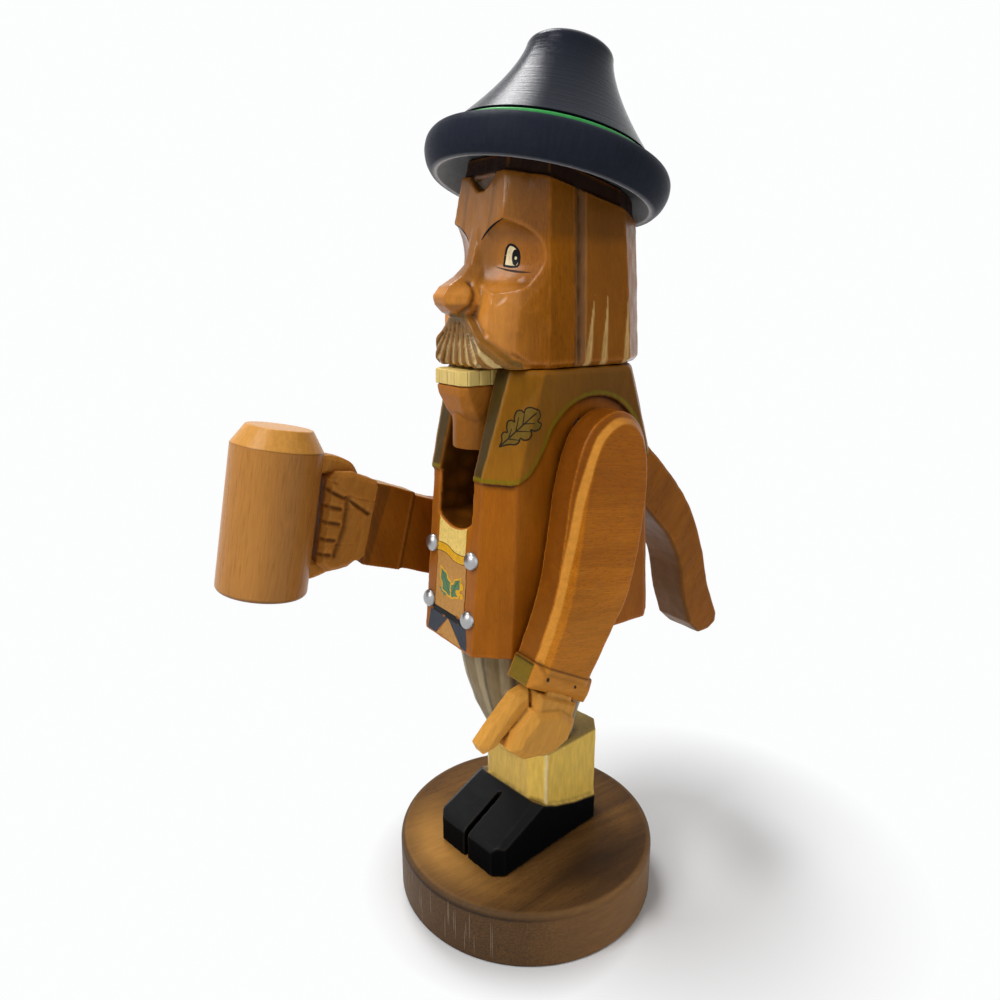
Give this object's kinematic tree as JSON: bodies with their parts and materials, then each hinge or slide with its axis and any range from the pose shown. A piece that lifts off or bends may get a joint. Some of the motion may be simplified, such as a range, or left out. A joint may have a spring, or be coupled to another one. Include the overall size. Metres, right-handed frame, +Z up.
{
  "type": "wooden nutcracker figure",
  "caption": "Carved wooden nutcracker figure in a brimmed hat and jacket, holding a stein; a lever through its back opens the jaw, and both arms turn at the shoulder.",
  "frame": {"origin": "middle of the stand's underside, on the surface that it rests on", "axes": "+Z up, -Y the way the figure faces, +X towards the figure's left"},
  "size_m": [0.08, 0.1616, 0.2462],
  "materials": {
    "honey_wood": "stained and varnished, satin",
    "pale_wood": "bare",
    "walnut_stand": "dark stain, satin",
    "leg_paint": "painted and varnished",
    "hat_paint": "navy paint, satin",
    "cream_paint": "painted, satin",
    "bright_steel": "polished",
    "plain_steel": "zinc plated"
  },
  "bodies": {
    "figure": {"base_disc": "walnut_stand", "base_screw_left": "plain_steel", "base_screw_right": "plain_steel", "legs": "leg_paint", "leg_dowel_left": "pale_wood", "leg_dowel_right": "pale_wood", "torso": "honey_wood", "button_upper_left": "bright_steel", "button_upper_right": "bright_steel", "button_lower_left": "bright_steel", "button_lower_right": "bright_steel", "left_shoulder_dowel": "pale_wood", "right_shoulder_dowel": "pale_wood", "head_dowel_left": "pale_wood", "head_dowel_right": "pale_wood", "pivot_pin": "plain_steel", "head": "honey_wood", "hat_dowel": "pale_wood", "hat": "hat_paint"},
    "jaw": {"jaw_lever": "honey_wood", "teeth_strip": "cream_paint"},
    "arm_left": {"left_arm": "honey_wood", "left_hand": "honey_wood"},
    "arm_right": {"right_arm": "honey_wood", "right_hand": "honey_wood", "stein": "honey_wood", "stein_handle": "honey_wood"}
  },
  "joints": [
    {"name": "jaw_hinge", "type": "hinge", "parent": "figure", "child": "jaw", "pos_m": [0, 0.002, 0.149], "axis": [1, 0, 0], "range_deg": [0, 25]},
    {"name": "left_shoulder", "type": "hinge", "parent": "figure", "child": "arm_left", "pos_m": [0.0209, 0.006, 0.14], "axis": [1, 0, 0], "range_deg": [-75, 20]},
    {"name": "right_shoulder", "type": "hinge", "parent": "figure", "child": "arm_right", "pos_m": [-0.0209, 0.006, 0.14], "axis": [1, 0, 0], "range_deg": [-40, 25]}
  ]
}
